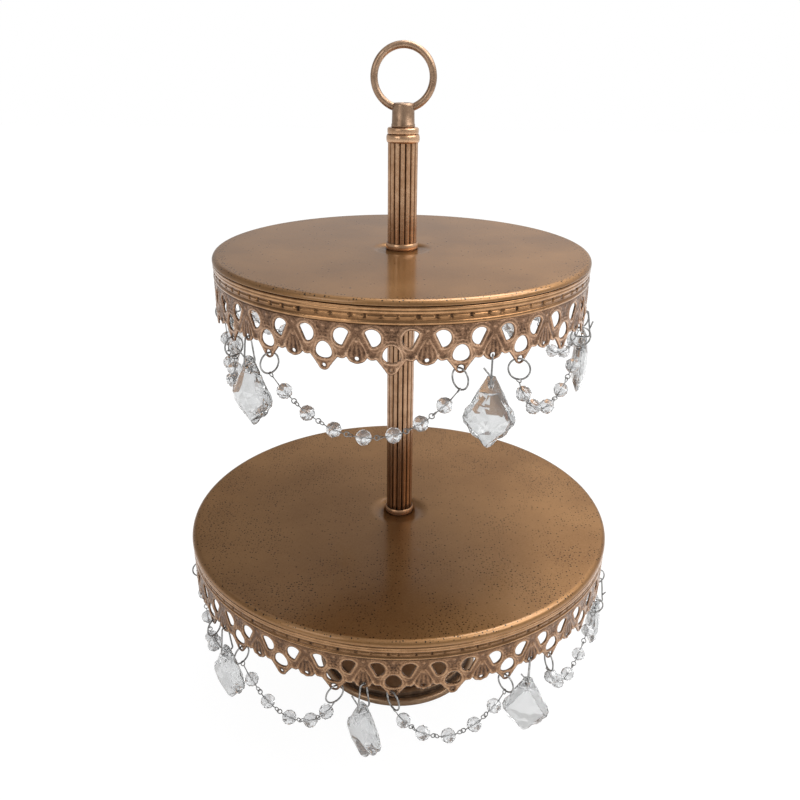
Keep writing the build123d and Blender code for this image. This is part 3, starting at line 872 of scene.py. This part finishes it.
def rodProfile():
    # close rings over the thread, then a few up the plain length
    threadTop = rod["bottom"] + rod["thread"]
    close = np.linspace(0, rod["thread"], int(rod["thread"] / rod["pitch"] * rod["perPitch"]) + 1)
    heights = np.concatenate([rod["bottom"] + close, np.linspace(threadTop + 1, rod["top"], 6)])
    side = np.stack([np.full(len(heights), rod["radius"]), heights], -1)
    return np.concatenate([[(nearAxis, rod["bottom"])], side, [(nearAxis, rod["top"])]])


def thread(profile, turn):
    # a v-shaped groove that climbs one pitch a turn, over the rod's lower end
    climb = (profile[:, 1:] / rod["pitch"] - turn / (2 * np.pi)) % 1
    held = (profile[:, :1] > 1) & (profile[:, 1:] < rod["bottom"] + rod["thread"])
    return -rod["cut"] * np.abs(2 * climb - 1) * held


putTurned("tie_rod", rodProfile(), rod["segments"], zincSteel, "plated_steel", wave=thread)

nut = dict(flats=10.0, bottom=21.8, top=26.8, lead=0.5, face=4.7, corner=5.77, chamfer=0.6, segments=72)


def nutProfile():
    # bore with a lead-in, and a corner chamfered at both faces
    bottom, top, corner, chamfer = (nut[key] for key in ("bottom", "top", "corner", "chamfer"))
    return np.array([
        (rodBore, bottom + nut["lead"]), (rodBore + nut["lead"], bottom), (nut["face"], bottom),
        (corner, bottom + chamfer), (corner, top - chamfer), (nut["face"], top), (rodBore, top),
    ])


def hexagon(profile, turn):
    # the outer points draw in to six flats
    flat = nut["flats"] / 2 / np.cos((turn + np.pi / 6) % (np.pi / 3) - np.pi / 6)
    return np.minimum(0, flat - profile[:, :1]) * (profile[:, :1] > rodBore + 1)


putTurned("foot_nut", nutProfile(), nut["segments"], zincSteel, "plated_steel", wave=hexagon, smooth=False)
washer = dict(radius=9.0, bottom=26.8, top=28.4, soft=0.4)
putTurned("foot_washer", turnedDisc(**washer), nut["segments"], zincSteel, "plated_steel")
print("foot, finial and rod done")

# garlands

garland = dict(
    tabHole=32.55, inset=0.9, ring=5.2, ringWire=0.45, ringSteps=40, ringSides=10,
    pitch=15.2, endLink=11.0, perTab=2, eye=1.3, eyeWire=0.28, eyeSteps=16, wireSides=6,
    hooked=0.92, eyeSeat=0.5,
    # a bead's rings of corners: place along the pin and radius
    beadHalf=3.7, beadSides=8,
    beadRings=[(-3.7, 1.5), (-2.55, 3.05), (-0.95, 3.93), (0.95, 3.93), (2.55, 3.05), (3.7, 1.5)],
)


def hangingPoints(halfSpan, beads):
    # bead places along the hanging curve scale * cosh(x / scale), whose scale is found by halving
    half = (beads - 1) / 2 * garland["pitch"] + garland["endLink"]
    low, high = halfSpan / 50, halfSpan * 50
    for _ in range(80):
        scale = (low + high) / 2
        low, high = (scale, high) if scale * math.sinh(halfSpan / scale) > half else (low, scale)
    lengths = np.concatenate([[-half], (np.arange(beads) - (beads - 1) / 2) * garland["pitch"], [half]])
    across = scale * np.arcsinh(lengths / scale)
    return across, scale * (np.cosh(across / scale) - math.cosh(halfSpan / scale))


def beadTemplate():
    # rings of corners, each turned half a step from the last, joined by triangles: a cut round bead
    sides, rings = garland["beadSides"], garland["beadRings"]
    this = np.arange(sides)
    after = (this + 1) % sides
    points, faces = [], []
    for k, (z, r) in enumerate(rings):
        a = (this + k % 2 / 2) * 2 * np.pi / sides
        points.append(np.stack([r * np.cos(a), r * np.sin(a), np.full(sides, z)], -1))
    for k in range(len(rings) - 1):
        low, up = sides * k, sides * (k + 1)
        near, far = (this, after) if k % 2 == 0 else (after, this)
        faces.append(np.stack([low + this, low + after, up + near], -1))
        faces.append(np.stack([low + far, up + after, up + this], -1))
    caps = np.stack([this[::-1], sides * (len(rings) - 1) + this])
    return np.concatenate(points), np.concatenate(faces), caps


def basisAlong(axis):
    # two directions square to each axis, the first kept as near upright as can be
    first = unit(upright - axis * (axis @ upright)[:, None])
    return first, np.cross(axis, first)


def stampBeads(centres, axes):
    # the bead at every centre, its length along the axis and turned by chance: x, y and z of the template are
    # carried along first, second and axis
    shape, triangles, caps = beadTemplate()
    first, second = basisAlong(axes)
    twist = dice.uniform(0, 2 * np.pi / garland["beadSides"], len(centres))[:, None]
    cos, sin = np.cos(twist), np.sin(twist)
    first, second = first * cos + second * sin, second * cos - first * sin
    x, y, z = shape.T[..., None]
    points = centres[:, None] + x * first[:, None] + y * second[:, None] + z * axes[:, None]
    step = len(shape) * np.arange(len(centres))[:, None, None]
    return points.reshape(-1, 3), [(faces + step).reshape(-1, faces.shape[1]) for faces in (triangles, caps)]


def circlePaths(centres, first, second, radius, count):
    # circles through centre + radius * (cos a along first + sin a along second)
    a = np.linspace(0, 2 * np.pi, count, endpoint=False)[:, None]
    return centres[:, None] + radius * (np.cos(a) * first[:, None] + np.sin(a) * second[:, None])


def straightPaths(starts, ends):
    # two-point paths from each start to its end
    return np.stack([starts, ends], 1)


def makeGarland(tier, t, number, first, last):
    # beads along a hanging curve between two tabs, on pins that end in eyes, with a ring in each tab
    angles = t["frontTab"] + 360 / t["repeats"] * np.array([first, last])
    halfAngle = np.radians(angles[1] - angles[0]) / 2
    rim = t["radius"] - garland["inset"]
    middleAngle = angles.mean()
    across, drop = hangingPoints(rim * math.sin(halfAngle), garland["perTab"] * (last - first) + 1)
    hung = rim * math.cos(halfAngle) * outward(middleAngle) + (t["top"] - garland["tabHole"]) * upright
    points = hung + across[:, None] * alongRim(middleAngle) + (drop - 2 * garland["ring"])[:, None] * upright
    centres, axes = points[1:-1], unit(points[2:] - points[:-2])
    body = f"{tier}_garland_{number}"
    putPiece(f"{body}_beads", *stampBeads(centres, axes), beadGlass, "bead_glass", body, smooth=False)
    # pins through the beads, with an eye at each end; eyes of two neighbours hook into each other crosswise
    radius, wire, sides = garland["eye"], garland["eyeWire"], garland["wireSides"]
    starts, ends = centres - axes * garland["beadHalf"], centres + axes * garland["beadHalf"]
    fromPoints, toPoints = np.concatenate([points[:1], ends]), np.concatenate([starts, points[-1:]])
    along = unit(toPoints - fromPoints)
    up, over = basisAlong(along)
    middle = (fromPoints + toPoints) / 2
    eyeA, eyeB = middle - along * garland["hooked"], middle + along * garland["hooked"]
    eyeA[0] = points[0] + along[0] * (radius - garland["eyeSeat"])
    eyeB[-1] = points[-1] - along[-1] * (radius - garland["eyeSeat"])
    eyeB[0], eyeA[-1] = eyeA[0], eyeB[-1]
    before, beyond = eyeA - along * radius, eyeB + along * radius
    inner, outer = slice(1, -1), [0, -1]
    eyes = [(eyeA, up, over, inner), (eyeB, over, up, inner), (eyeA, over, up, outer)]
    pins = [
        (starts, ends, basisAlong(axes)[0]),
        (ends[:-1], before[inner], up[inner]), (beyond[inner], starts[1:], up[inner]),
        (beyond[:1], starts[:1], up[:1]), (ends[-1:], before[-1:], up[-1:]),
    ]
    parts = []
    for eye, lie, side, at in eyes:
        paths = circlePaths(eye[at], along[at], lie[at], radius, garland["eyeSteps"])
        parts.append(tubes(paths, side[at], wire, sides, True))
    for start, end, side in pins:
        parts.append(tubes(straightPaths(start, end), side, wire, sides, False))
    ringCentres = rim * outward(angles) + (t["top"] - garland["tabHole"] - garland["ring"]) * upright
    aside = angles + np.array(t["ringTurns"][number - 1])
    bothUp = np.tile(upright, (2, 1))
    paths = circlePaths(ringCentres, outward(aside), bothUp, garland["ring"], garland["ringSteps"])
    parts.append(tubes(paths, alongRim(aside), garland["ringWire"], garland["ringSides"], True))
    putPiece(f"{body}_wire", *joinParts(parts), wireGrey, "dark_wire", body)


for tier, t in tiers.items():
    for number, (first, last) in enumerate(t["garlands"], start=1):
        makeGarland(tier, t, number, first, last)
print("garlands done")

# crystals and their hooks

crystal = dict(
    # half width and height from the hole, from the top down to the point, with a scalloped edge
    outline=[(0.0, 4.6), (2.0, 4.1), (2.7, 2.4), (4.6, -1.0), (6.6, -4.6), (8.2, -8.0), (9.2, -10.4),
             (11.6, -13.2), (12.6, -16.6), (12.0, -19.8), (9.8, -22.2), (8.9, -24.6), (7.2, -26.4),
             (4.4, -27.8), (2.9, -30.2), (1.3, -31.9), (0.0, -32.5)],
    # rings of facet corners from the girdle in: share of the outline, height and half-step turns
    centre=-16.2, girdle=0.5, rings=[(0.82, 2.5, 0), (0.46, 4.0, 1)], half=4.7, points=8,
    hole=1.1, holeDrop=0.35, drillSides=12, drillHalf=8.0,
)


def crystalTemplate():
    # a scalloped girdle, two rings of corners joined by flat triangular facets, and a low point in the middle
    right = np.array(crystal["outline"])
    rim = np.concatenate([right, right[-2:0:-1] * (-1, 1)])
    count, corners = len(rim), crystal["points"]
    step = 2 * np.pi / corners
    middle = np.array([0.0, crystal["centre"]])
    angle = np.arctan2(rim[:, 0], rim[:, 1] - crystal["centre"])
    order = np.argsort(angle)
    reach = np.hypot(*(rim - middle).T)
    this, after = np.arange(count), (np.arange(count) + 1) % count
    corner, nextCorner = np.arange(corners), (np.arange(corners) + 1) % corners
    points = [np.column_stack([rim, np.full(count, side * crystal["girdle"])]) for side in (-1, 1)]
    triangles, start = [], 2 * count
    for face, side in enumerate((-1, 1)):
        below, belowBase = None, face * count
        for scale, height, turn in crystal["rings"]:
            star = corner * step - np.pi + (turn + (side < 0)) % 2 * step / 2
            reachHere = np.interp(star, angle[order], reach[order], period=2 * np.pi)
            tips = middle + scale * reachHere[:, None] * np.stack([np.sin(star), np.cos(star)], -1)
            points.append(np.column_stack([tips, np.full(corners, side * height)]))
            if below is None:  # each stretch of the girdle leans on its nearest corner
                near = np.argmin(np.abs(np.angle(np.exp(1j * (angle[:, None] - star)))), 1)
                triangles.append(np.stack([belowBase + this, belowBase + after, start + near[this]], -1))
                split = near[this] != near[after]
                bridge = np.stack([belowBase + after, start + near[after], start + near[this]], -1)
                triangles.append(bridge[split])
            else:  # corners of two rings half a step apart
                shift = int(round((star[0] - below[0]) / step - 0.5))
                low, high = belowBase + (corner + shift) % corners, belowBase + (corner + shift + 1) % corners
                triangles.append(np.stack([low, high, start + corner], -1))
                triangles.append(np.stack([high, start + nextCorner, start + corner], -1))
            below, belowBase, start = star, start, start + corners
        points.append(np.array([[*middle, side * crystal["half"]]]))
        triangles.append(np.stack([belowBase + corner, belowBase + nextCorner, np.full(corners, start)], -1))
        start += 1
    girdle = np.stack([this, after, after + count, this + count], -1)
    return np.concatenate(points), np.concatenate(triangles).tolist() + girdle.tolist()


def solidObject(name, points, faces):
    # a mesh object with its faces turned outwards
    mesh = bpy.data.meshes.new(name)
    mesh.from_pydata(points.tolist(), [], faces)
    bm = bmesh.new()
    bm.from_mesh(mesh)
    bmesh.ops.recalc_face_normals(bm, faces=bm.faces[:])
    bm.to_mesh(mesh)
    bm.free()
    thing = bpy.data.objects.new(name, mesh)
    bpy.context.scene.collection.objects.link(thing)
    return thing


def drilled(points, faces):
    # the template with a round bar through its hole taken away, as triangles
    sides = crystal["drillSides"]
    a = np.linspace(0, 2 * np.pi, sides, endpoint=False)
    ring = np.stack([crystal["hole"] * np.cos(a), crystal["hole"] * np.sin(a) - crystal["holeDrop"]], -1)
    ends = [np.column_stack([ring, np.full(sides, side * crystal["drillHalf"])]) for side in (-1, 1)]
    ends = np.concatenate(ends)
    caps = [list(range(sides - 1, -1, -1)), list(range(sides, 2 * sides))]
    blank = solidObject("crystalTemplate", points, faces)
    drill = solidObject("drill", ends, gridQuads(2, sides, False, True).tolist() + caps)
    cut = blank.modifiers.new("hole", "BOOLEAN")
    cut.operation, cut.object, cut.solver = "DIFFERENCE", drill, "EXACT"
    done = bpy.data.meshes.new_from_object(blank.evaluated_get(bpy.context.evaluated_depsgraph_get()))
    done.calc_loop_triangles()
    cutPoints = np.empty(3 * len(done.vertices))
    done.vertices.foreach_get("co", cutPoints)
    cutFaces = np.empty(3 * len(done.loop_triangles), np.int32)
    done.loop_triangles.foreach_get("vertices", cutFaces)
    for thing in (blank, drill):
        bpy.data.objects.remove(thing)
    return cutPoints.reshape(-1, 3), cutFaces.reshape(-1, 3)


crystalPoints, crystalFaces = drilled(*crystalTemplate())

hook = dict(
    top=4.2, bottom=8.2, corner=0.8, shoulder=1.2, flare=(0.92, 2.6), heel=1.0, wire=0.45, sides=8,
    smallHole=28.25,
    # the tail starts inside the loop and at a height, runs out, aside and up, and is thinner than the loop
    tailStart=(0.3, 5.2), tail=(0.9, 3.6, 4.6), tailShare=0.9,
)


def hookOutline(h):
    # a narrow loop of height h that widens to the crystal, with rounded corners, in (outwards, up)
    w, b, corner = hook["top"] / 2, hook["bottom"] / 2, hook["corner"]
    flare, flareHeight = hook["flare"]
    half = smoothRun([
        (0, h), (w * corner, h), (w, h - hook["shoulder"]),
        (b * flare, flareHeight), (b, hook["heel"]), (b * corner, 0), (0, 0),
    ])
    return np.concatenate([half, half[-2:0:-1] * (-1, 1)])


for tier, t in tiers.items():
    angles = t["frontTab"] + 360 / t["repeats"] * (np.array(t["garlands"])[:, 1] + 0.5)
    low = t["top"] - hook["smallHole"] - t["hookLength"]
    places = (t["radius"] - garland["inset"]) * outward(angles) + low * upright
    faced = angles + np.array(t["turns"])
    normals, sides = outward(faced), alongRim(faced)
    x, y, z = crystalPoints.T[..., None]
    for number, (place, normal, side) in enumerate(zip(places, normals, sides), start=1):
        body = f"{tier}_crystal_{number}"
        points = place + x * side + y * upright + z * normal
        putPiece(body, points, [crystalFaces], crystalGlass, "crystal_glass", body, smooth=False)
    shape = hookOutline(t["hookLength"])
    loops = places[:, None] + shape[:, :1] * normals[:, None] + shape[:, 1:] * upright
    inside, lift = hook["tailStart"]
    out, aside, rise = hook["tail"]
    foot = places + normals * (hook["bottom"] / 2 - inside) + upright * lift
    tails = straightPaths(foot, foot + normals * out - sides * aside + upright * rise)
    tailSide = basisAlong(unit(tails[:, 1] - tails[:, 0]))[1]
    points, faces = joinParts([
        tubes(loops, sides, hook["wire"], hook["sides"], True),
        tubes(tails, tailSide, hook["wire"] * hook["tailShare"], hook["sides"], False),
    ])
    putPiece(f"{tier}_hooks", points, faces, wireGrey, "dark_wire")
print("crystals and hooks done")

# camera, light and floor, in metres

shot = dict(place=(0.0, -0.4409, 0.37655), pitch=24.81, roll=0.61, lens=36.43, sensor=36.0, shiftY=0.0303)
cameraData = bpy.data.cameras.new("camera")
cameraData.lens, cameraData.sensor_width, cameraData.shift_y = shot["lens"], shot["sensor"], shot["shiftY"]
cameraData.clip_start, cameraData.clip_end = 0.01, 50
camera = bpy.data.objects.new("camera", cameraData)
camera.matrix_world = (
    Matrix.Translation(shot["place"])
    @ Matrix.Rotation(math.radians(90 - shot["pitch"]), 4, "X")
    @ Matrix.Rotation(math.radians(shot["roll"]), 4, "Z")
)
bpy.context.scene.collection.objects.link(camera)
bpy.context.scene.camera = camera

# place, aim, width, height and power
softBoxes = dict(
    overhead=((0.36, 0.30, 1.25), (0, 0, 0.2), 0.8, 0.6, 12.0),
    frontLeft=((-0.9, -1.0, 0.9), (0, 0, 0.2), 0.7, 0.7, 4.5),
    right=((0.85, -0.30, 0.95), (0, 0, 0.15), 1.1, 0.4, 8.5),
)
for name, (place, aim, width, height, power) in softBoxes.items():
    light = bpy.data.lights.new(name, "AREA")
    light.shape, light.size, light.size_y, light.energy = "RECTANGLE", width, height, power
    lamp = bpy.data.objects.new(name, light)
    lamp.location = place
    lamp.rotation_euler = (Vector(aim) - Vector(place)).to_track_quat("-Z", "Y").to_euler()
    bpy.context.scene.collection.objects.link(lamp)

# spans of the room's brightness: towards the back, from left to right low and high up, and overhead
studio = dict(
    behind=(-0.75, 0.25, 0.44, 0.86), besideLow=(-0.7, 0.8, 0.74, 1.02), besideHigh=(-0.28, 0.28, 0.36, 1.22),
    raised=(0.30, 0.44, 0.0, 1.0), overhead=(0.55, 0.85, 0.0, 0.50), wallCells=5.0, floorCells=14.0,
    wall=[(0.0, (0.24, 0.20, 0.175)), (0.13, (0.32, 0.27, 0.24)), (0.16, (0.58, 0.58, 0.575)),
          (0.55, (0.72, 0.73, 0.745)), (0.85, (0.82, 0.825, 0.83)), (1.0, (1.0, 1.0, 0.99))],
    floor=[(0.0, (0.46, 0.45, 0.44)), (0.08, (0.66, 0.66, 0.66)),
           (0.7, (0.84, 0.845, 0.85)), (1.0, (0.98, 0.98, 0.98))],
    floorHalf=4, floorDrop=0.0002, floorTone=(0.93, 0.93, 0.93), floorRough=0.9, glow=1.04, glowShare=0.92,
)


def roomPatches(tree, where, scale, stops):
    # what the cut glass gathers: flat patches of wall, window and dark furniture
    cells = addNode(tree, "ShaderNodeTexVoronoi", [("Vector", where), ("Scale", scale)])
    pick = addNode(tree, "ShaderNodeSeparateColor", [("Color", cells.outputs["Color"])])
    return ramp(tree, pick.outputs[0], stops)


# the room's brightness is behind times beside plus overhead; the camera sees white, and glass the patches
world = bpy.data.worlds.new("studio")
bpy.context.scene.world = world
world.use_nodes = True
tree = world.node_tree
heading = addNode(tree, "ShaderNodeTexCoord").outputs["Generated"]
direction = addNode(tree, "ShaderNodeSeparateXYZ", [("Vector", heading)]).outputs
behind = span(tree, direction["Y"], *studio["behind"])
besideLow = span(tree, direction["X"], *studio["besideLow"])
besideHigh = span(tree, direction["X"], *studio["besideHigh"])
beside = blendValue(tree, span(tree, direction["Z"], *studio["raised"]), besideLow, besideHigh)
overhead = span(tree, direction["Z"], *studio["overhead"])
room = sums(tree, "ADD", sums(tree, "MULTIPLY", behind, beside), overhead)
ray = addNode(tree, "ShaderNodeLightPath").outputs
level = blendValue(tree, ray["Is Camera Ray"], room, 1.0)
plain = addNode(tree, "ShaderNodeCombineColor", [(0, level), (1, level), (2, level)]).outputs[0]
patches = roomPatches(tree, heading, studio["wallCells"], studio["wall"])
backdrop = blendColour(tree, ray["Is Transmission Ray"], plain, patches)
feed(tree, tree.nodes["Background"], [("Color", backdrop)])

# the floor glows white to the camera, shows patches through glass, and can't be seen from below
half, drop = studio["floorHalf"], -studio["floorDrop"]
floorMesh = bpy.data.meshes.new("floor")
floorMesh.from_pydata(
    [(-half, -half, drop), (half, -half, drop), (half, half, drop), (-half, half, drop)], [], [(0, 1, 2, 3)],
)
floor = bpy.data.objects.new("floor", floorMesh)
bpy.context.scene.collection.objects.link(floor)
floorWhite, tree, shader = newMaterial("floorWhite")
feed(tree, shader, [("Base Color", opaque(studio["floorTone"])), ("Roughness", studio["floorRough"])])
ray = addNode(tree, "ShaderNodeLightPath").outputs
patches = roomPatches(tree, objectPlace(tree), studio["floorCells"], studio["floor"])
seenWhite = blendColour(tree, ray["Is Transmission Ray"], (1.0, 1.0, 1.0), patches)
glow = addNode(tree, "ShaderNodeEmission", [("Color", seenWhite), ("Strength", studio["glow"])])
seen = sums(tree, "MAXIMUM", ray["Is Camera Ray"], ray["Is Transmission Ray"])
share = sums(tree, "MULTIPLY", seen, studio["glowShare"])
mix = addNode(tree, "ShaderNodeMixShader", [(0, share), (1, shader.outputs[0]), (2, glow.outputs[0])])
under = addNode(tree, "ShaderNodeNewGeometry").outputs["Backfacing"]
clear = addNode(tree, "ShaderNodeBsdfTransparent")
sheet = addNode(tree, "ShaderNodeMixShader", [(0, under), (1, mix.outputs[0]), (2, clear.outputs[0])])
feed(tree, tree.nodes["Material Output"], [("Surface", sheet.outputs[0])])
floorMesh.materials.append(floorWhite)

bpy.context.scene.view_settings.view_transform = "Standard"
print("scene done")
